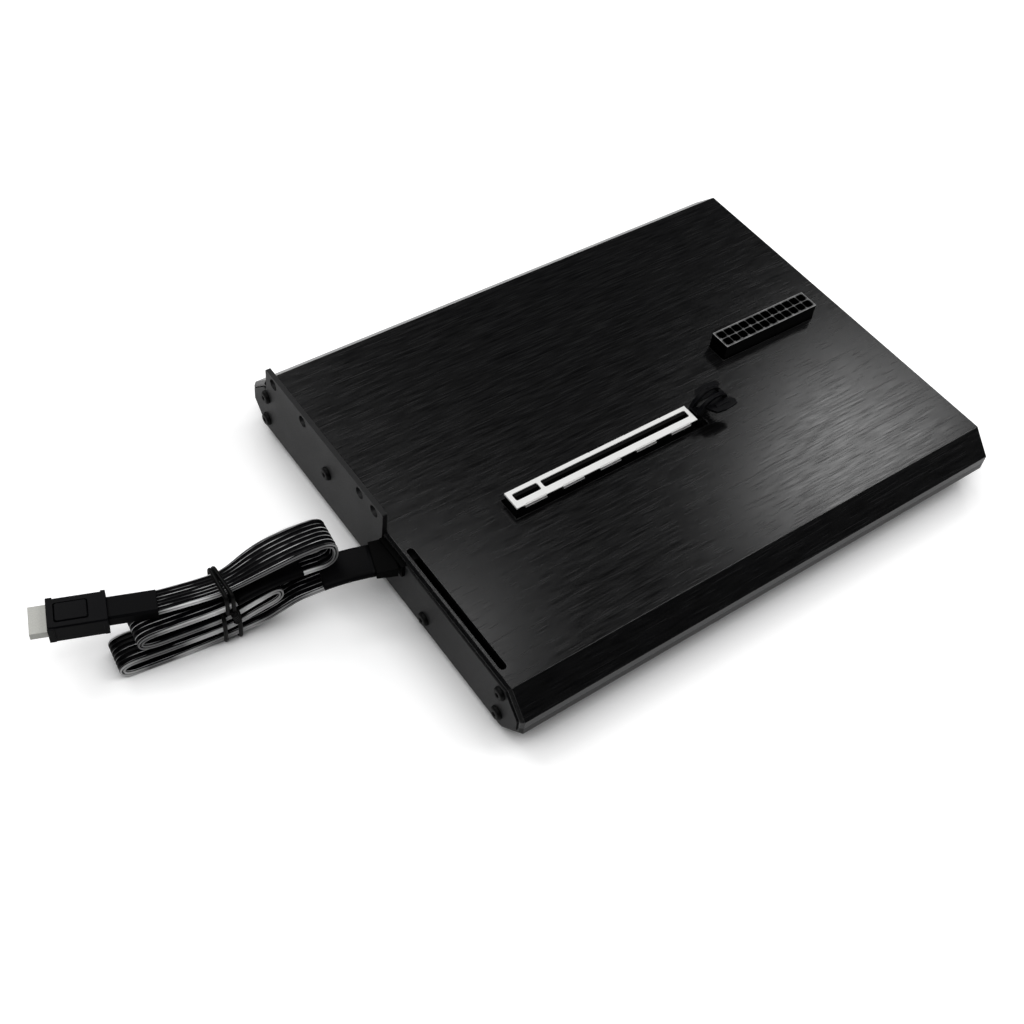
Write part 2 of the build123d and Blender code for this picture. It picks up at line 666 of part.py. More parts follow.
nodes = {
    "top_shell": top_shell,
    "bottom_shell": bottom_shell,
    "left_end_plate": left_end_plate,
    "right_end_plate": right_end_plate,
    "left_end_screws": Compound(left_end_screws),
    "right_end_screws": Compound(right_end_screws),
    "rubber_feet": Compound(rubber_feet),
    "main_board": main_board,
    "board_spacers": Compound(board_spacers),
    "board_screws": Compound(board_screws),
    "slot_housing": slot_housing,
    "slot_contacts": Compound(slot_contacts),
    "slot_shield": slot_shield,
    "slot_latch": slot_latch,
    "latch_pin": latch_pin,
    "power_header": power_header,
    "power_header_pins": Compound(header_pins),
    "board_capacitors": Compound(board_capacitors),
    "link_receptacle": link_receptacle,
    "inner_plug": inner_plug,
    "cable_grommet": cable_grommet,
    "cable_sleeve": cable_sleeve,
    "cable_lead": cable_lead,
    "cable_hank": cable_hank,
    "cable_tie": cable_tie,
    "cable_tail": cable_tail,
    "plug_boot": plug_boot,
    "plug_body": plug_body,
    "plug_tongue": plug_tongue,
    "plug_card": plug_card,
    "plug_button": plug_button,
}
for name, shape in nodes.items():
    export_step(shape, f"parts/{name}.step")
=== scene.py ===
import math
import bmesh
import bpy
from mathutils import Matrix, Vector


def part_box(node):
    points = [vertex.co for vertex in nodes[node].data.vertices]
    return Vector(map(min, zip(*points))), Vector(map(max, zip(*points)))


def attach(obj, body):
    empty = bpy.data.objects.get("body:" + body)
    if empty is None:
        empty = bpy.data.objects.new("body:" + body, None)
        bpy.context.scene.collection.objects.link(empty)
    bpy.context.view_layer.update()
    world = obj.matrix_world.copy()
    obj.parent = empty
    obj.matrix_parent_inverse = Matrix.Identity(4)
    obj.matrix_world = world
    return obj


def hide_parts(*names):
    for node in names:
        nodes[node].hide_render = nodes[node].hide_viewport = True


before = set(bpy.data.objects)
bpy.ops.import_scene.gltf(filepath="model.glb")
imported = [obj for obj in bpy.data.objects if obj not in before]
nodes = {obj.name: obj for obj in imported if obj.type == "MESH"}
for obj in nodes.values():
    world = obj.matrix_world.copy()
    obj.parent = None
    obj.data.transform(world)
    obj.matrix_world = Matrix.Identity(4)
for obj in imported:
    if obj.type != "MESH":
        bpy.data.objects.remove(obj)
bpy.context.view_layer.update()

mm = 0.001
scene = bpy.context.scene
scene.view_settings.view_transform = "Standard"


# shader sockets as values: expressions on them add Math nodes
class Wire:
    def __init__(self, tree, socket):
        self.tree = tree
        self.socket = socket

    def feed(self, socket, value):
        if isinstance(value, Wire):
            self.tree.links.new(value.socket, socket)
        else:
            socket.default_value = value

    def node(self, kind, settings=None, values=None, out=0):
        made = self.tree.nodes.new(kind)
        for name, value in (settings or {}).items():
            setattr(made, name, value)
        for name, value in (values or {}).items():
            self.feed(made.inputs[name], value)
        return Wire(self.tree, made.outputs[out])

    def math(self, operation, first, second=0.0):
        return self.node("ShaderNodeMath", {"operation": operation}, {0: first, 1: second})

    def __add__(self, other):
        return self.math("ADD", self, other)

    def __radd__(self, other):
        return self.math("ADD", other, self)

    def __sub__(self, other):
        return self.math("SUBTRACT", self, other)

    def __rsub__(self, other):
        return self.math("SUBTRACT", other, self)

    def __mul__(self, other):
        return self.math("MULTIPLY", self, other)

    def __rmul__(self, other):
        return self.math("MULTIPLY", other, self)

    def __or__(self, other):
        return self.math("MAXIMUM", self, other)

    def __abs__(self):
        return self.math("ABSOLUTE", self)

    def part(self, axis):
        return self.node("ShaderNodeSeparateXYZ", None, {"Vector": self}, out="XYZ".index(axis))

    def noise(self, scale, detail=3.0, stretch=(1, 1, 1)):
        placed = self.node("ShaderNodeMapping", None, {"Vector": self, "Scale": stretch})
        return self.node("ShaderNodeTexNoise", None, {"Vector": placed, "Scale": scale, "Detail": detail})

    def between(self, low, high):
        limits = {"Value": self, "From Min": low, "From Max": high}
        return self.node("ShaderNodeMapRange", {"clamp": True}, limits)

    def tint(self, dark, light):
        dark, light = [side if isinstance(side, Wire) else (*side, 1) for side in (dark, light)]
        return self.node("ShaderNodeMix", {"data_type": "RGBA"}, {"Factor": self, 6: dark, 7: light}, out=2)

    def rounded(self, radius):
        return self.node("ShaderNodeBevel", {"samples": 4}, {"Radius": radius})

    # how far a rounded edge turns away from the flat face under it
    def turned(self):
        flat = self.node("ShaderNodeNewGeometry", None, None, "Normal")
        alike = {"operation": "DOT_PRODUCT"}
        return 1 - self.node("ShaderNodeVectorMath", alike, {0: self, 1: flat}, out="Value")

    def bump(self, strength, distance, normal):
        heights = {"Height": self, "Strength": strength, "Distance": distance, "Normal": normal}
        return self.node("ShaderNodeBump", None, heights)


def newFinish(name, fixed):
    material = bpy.data.materials.new(name)
    material.use_nodes = True
    shader = material.node_tree.nodes["Principled BSDF"]
    for socket, value in fixed.items():
        shader.inputs[socket].default_value = value
    start = material.node_tree.nodes.new("ShaderNodeTexCoord")
    return material, Wire(material.node_tree, start.outputs["Object"]), shader


def dress(material, *names):
    for name in names:
        slots = nodes[name].data.materials
        slots.clear()
        slots.append(material)


def newPiece(name, shape, material, replaced=()):
    mesh = bpy.data.meshes.new(name)
    shape.to_mesh(mesh)
    shape.free()
    mesh.materials.append(material)
    piece = bpy.data.objects.new(name, mesh)
    scene.collection.objects.link(piece)
    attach(piece, "dock")
    if replaced:
        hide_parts(*replaced)
    return piece


# brushed black anodising: short fine scratches along the dock, longer ones between, and painted highlights along the
# rounded edges, in patches
brushed = {"dark": (0.0013, 0.0013, 0.0014), "light": (0.0058, 0.0058, 0.0061), "edgeShine": (0.15, 0.15, 0.15),
           "fine": (90, 1800, 1800), "long": (34, 950, 950), "fineShare": 0.65, "shown": (0.34, 0.66),
           "smooth": 0.135, "spread": 0.145, "cloud": 9, "cloudSpread": 0.04, "strength": 0.012,
           "depth": 0.06 * mm, "edge": 0.4 * mm, "shineTurn": (0.015, 0.2), "shineGrain": 60, "shineShown": (0.2, 0.6)}


def brushedAnodising(name, gloss):
    material, place, shader = newFinish(name, {"IOR": gloss})
    fine = place.noise(1, 3, brushed["fine"])
    long = place.noise(1, 3, brushed["long"])
    cloud = place.noise(brushed["cloud"], 2)
    share = brushed["fineShare"]
    streak = (share * fine + (1 - share) * long).between(*brushed["shown"])
    rounded = place.rounded(brushed["edge"])
    patches = place.noise(brushed["shineGrain"], 2).between(*brushed["shineShown"])
    # painted highlight: base colour made pale where a rounded edge turns away from the face, in patches of noise
    edgeShine = rounded.turned().between(*brushed["shineTurn"]) * patches
    black = streak.tint(brushed["dark"], brushed["light"])
    roughness = brushed["smooth"] + brushed["spread"] * streak + brushed["cloudSpread"] * cloud
    place.feed(shader.inputs["Base Color"], edgeShine.tint(black, brushed["edgeShine"]))
    place.feed(shader.inputs["Roughness"], roughness)
    place.feed(shader.inputs["Normal"], streak.bump(brushed["strength"], brushed["depth"], rounded))
    return material


# fine-grained finishes: shades, painted edge highlight, grain per metre, roughness from and its spread, bump
grained = {
    "satinPlate": {"dark": (0.005, 0.005, 0.0055), "light": (0.012, 0.012, 0.0125),
                   "edgeShine": (0.08, 0.08, 0.08), "grain": 2600, "smooth": 0.4,
                   "spread": 0.14, "strength": 0.12, "depth": 0.06 * mm, "fixed": {"IOR": 1.35}},
    "softRubber": {"dark": (0.004, 0.004, 0.004), "light": (0.01, 0.01, 0.01),
                   "edgeShine": (0.02, 0.02, 0.02), "grain": 2200, "smooth": 0.45,
                   "spread": 0.16, "strength": 0.15, "depth": 0.08 * mm},
    "exitRubber": {"dark": (0.0006, 0.0006, 0.0006), "light": (0.002, 0.002, 0.002),
                   "edgeShine": (0.003, 0.003, 0.003), "grain": 2200, "smooth": 0.5,
                   "spread": 0.16, "strength": 0.15, "depth": 0.08 * mm, "fixed": {"IOR": 1.1}},
    "shrinkSleeve": {"dark": (0.0008, 0.0008, 0.001), "light": (0.0028, 0.0028, 0.0034),
                     "edgeShine": (0.012, 0.012, 0.013), "grain": 1500, "smooth": 0.4,
                     "spread": 0.14, "strength": 0.15, "depth": 0.1 * mm, "fixed": {"IOR": 1.14}},
    "tieBlack": {"dark": (0.0006, 0.0006, 0.0006), "light": (0.002, 0.002, 0.002),
                 "edgeShine": (0.006, 0.006, 0.006), "grain": 1500, "smooth": 0.36,
                 "spread": 0.14, "strength": 0.1, "depth": 0.05 * mm, "fixed": {"IOR": 1.2}},
    "boardMask": {"dark": (0.006, 0.014, 0.01), "light": (0.012, 0.026, 0.018),
                  "edgeShine": (0.04, 0.05, 0.04), "grain": 900, "smooth": 0.28,
                  "spread": 0.12, "strength": 0.08, "depth": 0.05 * mm},
    "housingBlack": {"dark": (0.0008, 0.0008, 0.0009), "light": (0.0025, 0.0025, 0.0025),
                     "edgeShine": (0.02, 0.02, 0.02), "grain": 2800, "smooth": 0.5,
                     "spread": 0.14, "strength": 0.12, "depth": 0.05 * mm, "fixed": {"IOR": 1.18}},
    "latchBlack": {"dark": (0.0012, 0.0012, 0.0016), "light": (0.004, 0.004, 0.005),
                   "edgeShine": (0.045, 0.045, 0.05), "grain": 2400, "smooth": 0.32,
                   "spread": 0.12, "strength": 0.1, "depth": 0.05 * mm, "fixed": {"IOR": 1.17}},
    "plugBlack": {"dark": (0.0008, 0.0008, 0.0012), "light": (0.003, 0.003, 0.004),
                  "edgeShine": (0.012, 0.012, 0.015), "grain": 2000, "smooth": 0.36,
                  "spread": 0.14, "strength": 0.14, "depth": 0.06 * mm, "fixed": {"IOR": 1.15}},
    "capacitorCase": {"dark": (0.1, 0.07, 0.02), "light": (0.2, 0.14, 0.04),
                      "edgeShine": (0.25, 0.2, 0.1), "grain": 1500, "smooth": 0.35,
                      "spread": 0.12, "strength": 0.08, "depth": 0.04 * mm},
    "brightSteel": {"dark": (0.62, 0.62, 0.6), "light": (0.8, 0.8, 0.78),
                    "edgeShine": (0.9, 0.9, 0.9), "grain": 1800, "smooth": 0.24,
                    "spread": 0.14, "strength": 0.06, "depth": 0.04 * mm, "fixed": {"Metallic": 0.6}},
    "tongueSteel": {"dark": (0.44, 0.44, 0.41), "light": (0.58, 0.58, 0.54),
                    "edgeShine": (0.7, 0.7, 0.66), "grain": 1800, "smooth": 0.4,
                    "spread": 0.14, "strength": 0.06, "depth": 0.04 * mm, "fixed": {"Metallic": 0.2}},
    "goldPlate": {"dark": (0.5, 0.36, 0.14), "light": (0.7, 0.54, 0.24),
                  "edgeShine": (0.8, 0.65, 0.3), "grain": 1800, "smooth": 0.22,
                  "spread": 0.14, "strength": 0.06, "depth": 0.04 * mm, "fixed": {"Metallic": 1.0}},
}
grainMix = {"fineShare": 0.55, "shown": (0.3, 0.7), "cloud": 1 / 40, "edge": 0.25 * mm, "shineTurn": (0.03, 0.25),
            "shineShown": (0.2, 0.6)}


# fine grain and broad clouds in one
def grainOf(place, grain, cloudGrain):
    fine = place.noise(grain, 3)
    cloud = place.noise(cloudGrain, 2)
    share = grainMix["fineShare"]
    return fine, cloud, (share * fine + (1 - share) * cloud).between(*grainMix["shown"])


def grainedFinish(name):
    look = grained[name]
    material, place, shader = newFinish(name, look.get("fixed", {}))
    fine, cloud, mixed = grainOf(place, look["grain"], look["grain"] * grainMix["cloud"])
    rounded = place.rounded(grainMix["edge"])
    # painted highlight along the rounded edges, in cloudy patches
    edgeShine = rounded.turned().between(*grainMix["shineTurn"]) * cloud.between(*grainMix["shineShown"])
    plain = mixed.tint(look["dark"], look["light"])
    place.feed(shader.inputs["Base Color"], edgeShine.tint(plain, look["edgeShine"]))
    place.feed(shader.inputs["Roughness"], look["smooth"] + look["spread"] * mixed)
    place.feed(shader.inputs["Normal"], fine.bump(look["strength"], look["depth"], rounded))
    return material


# slot cover: bright tinned sheet, with painted shade in the crease where each rib is pressed out of its side
cover = {"dark": (0.94, 0.94, 0.92), "light": (0.99, 0.99, 0.98), "creaseShade": (0.012, 0.012, 0.012),
         "middle": -19.9 * mm, "flat": 4.45 * mm, "lip": 4.95 * mm, "soft": 0.05 * mm, "grain": 1800, "cloud": 45,
         "smooth": 0.34, "spread": 0.14, "strength": 0.06, "depth": 0.04 * mm, "edge": 0.15 * mm}


def tinnedCover():
    material, place, shader = newFinish("tinnedCover", {"Metallic": 0.1})
    fine, _, mixed = grainOf(place, cover["grain"], cover["cloud"])
    out = abs(place.part("Y") - cover["middle"])
    # painted shade: a dark band in the crease beside each pressed rib
    pressed = out.between(cover["flat"], cover["flat"] + cover["soft"])
    creaseShade = pressed * (1 - out.between(cover["lip"] - cover["soft"], cover["lip"]))
    tin = mixed.tint(cover["dark"], cover["light"])
    place.feed(shader.inputs["Base Color"], creaseShade.tint(tin, cover["creaseShade"]))
    place.feed(shader.inputs["Roughness"], cover["smooth"] + cover["spread"] * mixed)
    rounded = place.rounded(cover["edge"])
    place.feed(shader.inputs["Normal"], fine.bump(cover["strength"], cover["depth"], rounded))
    return material


# power header: black moulding, with painted highlights along the tops of its outer rim, of the walls between the
# cells and at their crossings, in patches
header = {"black": (0.001, 0.001, 0.001), "rim": (0.48, 0.48, 0.48), "deep": 0.25 * mm, "full": 0.3,
          "middle": (77.0 * mm, 4.2 * mm), "half": (25.8 * mm, 4.7 * mm), "pitch": 4.2 * mm,
          "line": 0.23 * mm, "lineSoft": 0.8, "wall": (0.10 * mm, 0.22 * mm), "corner": (0.45 * mm, 0.85 * mm),
          "spineShare": 0.4, "wallShare": 0.12, "cornerShare": 0.4, "patchyShine": 0.45, "shineGrain": 260,
          "shineShown": (0.3, 0.65), "grain": 2400, "grainShown": (0.3, 0.7), "smooth": 0.30, "spread": 0.14,
          "strength": 0.10, "depth": 0.05 * mm, "edge": 0.12 * mm}


def shineRimmedHeader():
    material, place, shader = newFinish("shineRimmedHeader", {"IOR": 1.08})
    grain = place.noise(header["grain"], 3).between(*header["grainShown"])
    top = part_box("power_header")[1][2]
    above = place.part("Z").between(top - header["deep"], top - header["full"] * header["deep"])
    aside = [place.part(axis) - centre for axis, centre in zip("XY", header["middle"])]
    line, soft = header["line"], header["lineSoft"] * header["line"]
    litRims = [abs(far).between(half - line, half - soft) for far, half in zip(aside, header["half"])]
    near = [place.math("PINGPONG", far, header["pitch"] / 2) for far in aside]   # how far the nearest wall is
    walls, spine = [1 - gap.between(*header["wall"]) for gap in near]
    corners = [1 - gap.between(*header["corner"]) for gap in near]
    patches = place.noise(header["shineGrain"], 2).between(*header["shineShown"])
    patchyShine = header["patchyShine"] + (1 - header["patchyShine"]) * patches
    inner = header["spineShare"] * spine | header["wallShare"] * walls
    crossings = header["cornerShare"] * corners[0] * corners[1]
    # painted highlight: pale lines on the rim, the wall tops and the crossings, in patches
    pale = above * patchyShine * (litRims[0] | litRims[1] | inner | crossings)
    place.feed(shader.inputs["Base Color"], pale.tint(header["black"], header["rim"]))
    place.feed(shader.inputs["Roughness"], header["smooth"] + header["spread"] * grain)
    rounded = place.rounded(header["edge"])
    place.feed(shader.inputs["Normal"], grain.bump(header["strength"], header["depth"], rounded))
    return material


finish = {name: grainedFinish(name) for name in grained}
dress(brushedAnodising("brushedTop", 1.42), "top_shell")
dress(brushedAnodising("brushedTray", 1.24), "bottom_shell")
dress(shineRimmedHeader(), "power_header")
dress(tinnedCover(), "slot_shield")
dress(finish["satinPlate"], "left_end_plate", "right_end_plate")
dress(finish["softRubber"], "rubber_feet")
dress(finish["exitRubber"], "cable_grommet")
dress(finish["shrinkSleeve"], "plug_boot")
dress(finish["boardMask"], "main_board", "plug_card")
dress(finish["housingBlack"], "slot_housing", "inner_plug")
dress(finish["latchBlack"], "slot_latch", "latch_pin")
dress(finish["plugBlack"], "plug_body", "plug_button")
dress(finish["capacitorCase"], "board_capacitors")
dress(finish["tongueSteel"], "plug_tongue")
dress(finish["brightSteel"], "board_screws", "power_header_pins", "link_receptacle")
dress(finish["goldPlate"], "board_spacers")
print("finishes done")

# camera at the photograph's place
view = {"place": (-0.29596, -0.2665, 0.42994), "right": (0.81043, -0.57797, 0.09566),
        "up": (0.40143, 0.66682, 0.62786), "back": (-0.42667, -0.47044, 0.77242), "lens": 48.75, "sensor": 36,
        "nearest": 0.01}
camera = bpy.data.objects.new("camera", bpy.data.cameras.new("camera"))
camera.data.lens = view["lens"]
camera.data.sensor_width = view["sensor"]
camera.data.clip_start = view["nearest"]
columns = Matrix((view["right"], view["up"], view["back"])).transposed()
camera.matrix_world = Matrix.Translation(view["place"]) @ columns.to_4x4()
scene.collection.objects.link(camera)
scene.camera = camera

# flat cable: two ribbons on one route from the grommet's nose to the plug's boot; runs are (along, height) in mm
cable = {"width": 13.6 * mm, "tailWidth": 9.6 * mm, "cores": 7, "coreSteps": 5, "ribbon": 0.85 * mm,
         "apart": 1.2 * mm, "leadStart": (-120.6, -12.8), "leadYaw": 161.7, "hankStart": (-139.0, 1.3),
         "hankYaw": 173.1, "tailAt": 40.0, "tailYaw": 165.2, "lineSteps": 10, "roundSteps": 3}
leadRun = [(8, 22.4), (16, 22.1), (24, 20.6), (31, 18.2), (37, 16.1), (43, 11.4), (50, 6.6)]
hankRun = [(44, 2.6), (58, 1.4), (70, 1.2), (82.2, 1.2), (82.2, 7.7), (68, 7.5), (54, 7.4), (41, 7.8),
           (31, 11.5), (21.6, 14.0), (22.4, 20.0), (31, 17.0), (41, 13.3), (56, 13.1), (74.4, 12.9), (74.4, 19.3),
           (60, 19.2), (42, 18.9), (28, 23.4), (13, 24.0), (0.5, 23.4), (0.5, 35.5), (13, 35.3), (27, 32.2)]
tailRun = [(0, 26.2), (8, 24.8), (17, 24.0), (25.6, 23.5)]

# sleeves shrunk round the cable: width and thickness of each, and where it begins and ends
sleeve = {"steps": 6, "lead": (14.2 * mm, 3.0 * mm), "leadEnd": (28, 19.4), "loop": (14.4 * mm, 3.2 * mm),
          "loopStart": (38, 19.8), "loopEnd": (12, 24.0)}


def heading(yaw):
    return Vector((math.cos(math.radians(yaw)), math.sin(math.radians(yaw)), 0))


def onPlane(start, yaw, along, height):
    return (Vector((*start, 0)) + heading(yaw) * along + Vector((0, 0, height))) * mm


def onHank(along, height, out=0.0):
    aside = heading(cable["hankYaw"] - 90) * out * mm
    return onPlane(cable["hankStart"], cable["hankYaw"], along, height) + aside


def cableRoute():
    tailStart = Vector((*cable["hankStart"], 0)) + heading(cable["hankYaw"]) * cable["tailAt"]
    stretches = [(cable["leadStart"], cable["leadYaw"], leadRun, cable["width"]),
                 (cable["hankStart"], cable["hankYaw"], hankRun, cable["width"]),
                 (tailStart[:2], cable["tailYaw"], tailRun, cable["tailWidth"])]
    middle, edge = [], []
    for start, yaw, run, width in stretches:
        for along, height in run:
            point = onPlane(start, yaw, along, height)
            middle.append(point)
            edge.append(point + heading(yaw - 90) * width / 2)
    return middle, edge


def splineMesh(name, points, closed=False, thick=0.0):
    curve = bpy.data.curves.new(name, "CURVE")
    curve.dimensions = "3D"
    curve.resolution_u = cable["lineSteps"]
    curve.bevel_depth = thick
    curve.bevel_resolution = cable["roundSteps"]
    curve.use_fill_caps = True
    spline = curve.splines.new("NURBS")
    spline.points.add(len(points) - 1)
    for control, point in zip(spline.points, points):
        control.co = (*point, 1)
    spline.order_u = 3
    spline.use_cyclic_u = closed
    spline.use_endpoint_u = not closed
    holder = bpy.data.objects.new(name, curve)
    scene.collection.objects.link(holder)
    bpy.context.view_layer.update()
    made = bpy.data.meshes.new_from_object(holder)
    bpy.data.objects.remove(holder)
    return made


def splinePoints(name, points):
    line = splineMesh(name, points)
    found = [vertex.co.copy() for vertex in line.vertices]
    bpy.data.meshes.remove(line)
    return found


# section across a ribbon: one round wire beside the next
def wireSection(width, thickness, cores, steps):
    top = []
    for i in range(cores * steps + 1):
        across = 2 * (i / steps % 1) - 1
        crown = math.sqrt(1 - across ** 2)
        top.append((width * (i / (cores * steps) - 0.5), thickness * (0.2 + 0.3 * crown)))
    return top + [(x, -z) for x, z in reversed(top)]


def roundedSection(width, thickness, steps):
    section = []
    corner = thickness / 2
    for side in (1, -1):
        for i in range(steps + 1):
            turn = math.pi * (i / steps) - math.pi / 2
            reach = width / 2 - corner + corner * math.cos(turn)
            section.append((side * reach, side * corner * math.sin(turn)))
    return section


# a strip of that section along the route, ring by ring, with its own flat map
def stripInto(shape, middle, edge, section, width, lift=0.0):
    uvMap = shape.loops.layers.uv.get("strip") or shape.loops.layers.uv.new("strip")
    rings = []
    for i, centre in enumerate(middle):
        ahead = (middle[min(i + 1, len(middle) - 1)] - middle[max(i - 1, 0)]).normalized()
        side = edge[i] - centre
        side = (side - ahead * side.dot(ahead)) / (width / 2)
        up = side.cross(ahead).normalized()
        rings.append([shape.verts.new(centre + side * x + up * (z + lift)) for x, z in section])
    count = len(section)
    travelled = 0.0
    for i in range(len(rings) - 1):
        step = (middle[i + 1] - middle[i]).length
        for j in range(count):
            k = (j + 1) % count
            face = shape.faces.new((rings[i][j], rings[i][k], rings[i + 1][k], rings[i + 1][j]))
            face.smooth = True
            places = [(section[j][0], travelled), (section[k][0], travelled),
                      (section[k][0], travelled + step), (section[j][0], travelled + step)]
            for loop, place in zip(face.loops, places):
                loop[uvMap].uv = place
        travelled += step
    shape.faces.new(list(reversed(rings[0])))
    shape.faces.new(rings[-1])
    bmesh.ops.recalc_face_normals(shape, faces=shape.faces)


# jackets: glossy black, a painted highlight line on each wire and painted highlights on the outer edges, both broken
# up in patches
jacket = {"black": (0.0015, 0.0015, 0.002), "shineWhite": (0.95, 0.95, 0.95), "line": (0.86, 0.98),
          "lineFrom": 0.02, "lineSpread": 0.68, "patch": (420, 70, 1), "patchShown": (0.44, 0.62),
          "rim": (0.465, 0.495), "rimWider": 0.03, "rimFrom": 0.24, "rimSpread": 0.76, "stretch": (50, 26, 1),
          "stretchShown": (0.42, 0.6), "dust": 900, "dustShown": (0.35, 0.7), "smooth": 0.24, "spread": 0.12}


def cableJacket():
    material, place, shader = newFinish("cableJacket", {"IOR": 1.1})
    strip = place.node("ShaderNodeUVMap", {"uv_map": "strip"})
    across = strip.part("X")
    pitch = cable["width"] / cable["cores"]
    lines = place.math("COSINE", across * (2 * math.pi / pitch)).between(*jacket["line"])
    patch = strip.noise(1, 2, jacket["patch"]).between(*jacket["patchShown"])
    stretch = strip.noise(1, 2, jacket["stretch"]).between(*jacket["stretchShown"])
    wider = jacket["rimWider"] * cable["width"] * stretch
    litRims = (abs(across) + wider).between(*[share * cable["width"] for share in jacket["rim"]])
    dust = place.noise(jacket["dust"], 2).between(*jacket["dustShown"])
    # painted highlights: thin lines along the wire tops and pale outer edges
    lineShine = lines * (jacket["lineFrom"] + jacket["lineSpread"] * patch)
    rimShine = litRims * (jacket["rimFrom"] + jacket["rimSpread"] * stretch)
    place.feed(shader.inputs["Base Color"], (lineShine | rimShine).tint(jacket["black"], jacket["shineWhite"]))
    place.feed(shader.inputs["Roughness"], jacket["smooth"] + jacket["spread"] * dust)
    return material


def nearestIndex(points, goal):
    return min(range(len(points)), key=lambda i: (points[i] - goal).length)


def makeSleeve(name, middle, edge, size, replaced):
    shape = bmesh.new()
    stripInto(shape, middle, edge, roundedSection(*size, sleeve["steps"]), cable["width"])
    return newPiece(name, shape, finish["shrinkSleeve"], replaced)


def makeCable():
    route, rim = cableRoute()
    middle = splinePoints("cableMiddle", route)
    edge = splinePoints("cableEdge", rim)
    shape = bmesh.new()
    section = wireSection(cable["width"], cable["ribbon"], cable["cores"], cable["coreSteps"])
    for side in (1, -1):
        stripInto(shape, middle, edge, section, cable["width"], side * cable["apart"] / 2)
    ribbon = newPiece("flatCable", shape, cableJacket(), ("cable_lead", "cable_hank", "cable_tail"))
    last = nearestIndex(middle, onPlane(cable["leadStart"], cable["leadYaw"], *sleeve["leadEnd"]))
    leadSleeve = makeSleeve("leadSleeve", middle[:last], edge[:last], sleeve["lead"], ("cable_sleeve",))
    first = nearestIndex(middle, onHank(*sleeve["loopStart"]))
    last = nearestIndex(middle, onHank(*sleeve["loopEnd"]))
    loopSleeve = makeSleeve("loopSleeve", middle[first:last], edge[first:last], sleeve["loop"], ())
    return ribbon, middle, [leadSleeve, loopSleeve]


# wire tie: two turns round the upper strands, two round the lower ones and a twisted knot in front
# a turn is (along, low, high) in mm, and it leans along the hank
tie = {"wire": 0.8 * mm, "out": 7.5, "bulge": (0.4, 0.3), "flat": 0.4, "lean": (0.8, 0.3, -0.9, 0.7),
       "upper": ((41.2, 17.3, 27.4), (43.0, 17.2, 27.2)), "lower": ((43.4, 0.9, 15.8), (39.4, 0.9, 15.6)),
       "knot": (40.7, 18.0), "knotPoints": 16, "knotTurns": 2.5, "knotRadius": 0.75, "knotLength": 5.0,
       "knotOut": 8.5, "knotSlant": 0.25, "endPoints": 2, "endFlare": 1.6}


def tieTurn(along, low, high, lean):
    out = tie["out"]
    inner = tie["flat"] * out
    back, front = out + tie["bulge"][0], out + tie["bulge"][1]
    corners = [(out, high), (inner, high), (-inner, high), (-out, high), (-back, high * 0.6 + low * 0.4),
               (-back, high * 0.3 + low * 0.7), (-out, low), (-inner, low), (inner, low), (out, low),
               (front, high * 0.5 + low * 0.5)]
    return [onHank(along + lean * side / out, height, side) for side, height in corners]


def knotEnd(start):
    along, height = tie["knot"]
    last = tie["knotPoints"] - 1
    twist = []
    for i in range(tie["knotPoints"]):
        angle = start + 2 * math.pi * tie["knotTurns"] * i / last
        fall = tie["knotLength"] * i / last
        reach = tie["knotRadius"] * (tie["endFlare"] if i > last - tie["endPoints"] else 1)
        twist.append(onHank(along + reach * math.cos(angle) - tie["knotSlant"] * fall, height - fall,
                            reach * math.sin(angle) - tie["knotOut"]))
    return twist


def makeTie():
    shape = bmesh.new()
    turns = [tieTurn(*row, lean) for row, lean in zip(tie["upper"] + tie["lower"], tie["lean"])]
    tubes = [splineMesh("tieTurn", points, True, tie["wire"]) for points in turns]
    tubes += [splineMesh("tieKnot", knotEnd(start), False, tie["wire"]) for start in (0, math.pi)]
    for tube in tubes:
        shape.from_mesh(tube)
        bpy.data.meshes.remove(tube)
    bmesh.ops.recalc_face_normals(shape, faces=shape.faces)
    for face in shape.faces:
        face.smooth = True
    return newPiece("wireTie", shape, finish["tieBlack"], ("cable_tie",))


ribbon, ribbonLine, sleeves = makeCable()
cableLength = sum((b - a).length for a, b in zip(ribbonLine, ribbonLine[1:]))
plugPieces = [nodes[name] for name in ("plug_boot", "plug_body", "plug_tongue", "plug_card", "plug_button")]
sleeves + [makeTie()] + plugPieces
print("cable done,", round(cableLength, 3), "m")

# button-head screws: low domed heads with a hexagon socket, six in each end; lengths in mm
screw = {"outline": [(1.35, 1.62), (1.95, 1.6), (2.35, 1.42), (2.65, 1.0), (2.82, 0.5), (2.85, 0.0)],
         "socket": 1.155, "socketDeep": 1.0, "socketDip": 0.04, "plate": 120.6, "outerY": 81.3, "middleY": 34.5,
         "upperZ": 21.7, "lowerZ": 9.1, "steps": 30, "turn": 0.7, "black": (0.001, 0.001, 0.001),
         "crown": (0.022, 0.022, 0.022), "crownAt": (1.3, 1.5), "crownFrom": 0.6, "grain": 3000,
         "grainShown": (0.3, 0.7), "smooth": 0.40, "spread": 0.14}


def screwFinish():
    material, place, shader = newFinish("screwBlack", {"IOR": 1.2})
    grain = place.noise(screw["grain"], 3).between(*screw["grainShown"])
    low, high = [(screw["plate"] + out) * mm for out in screw["crownAt"]]
    crown = abs(place.part("X")).between(low, high) * (screw["crownFrom"] + (1 - screw["crownFrom"]) * grain)
    place.feed(shader.inputs["Base Color"], crown.tint(screw["black"], screw["crown"]))
    place.feed(shader.inputs["Roughness"], screw["smooth"] + screw["spread"] * grain)
    return material


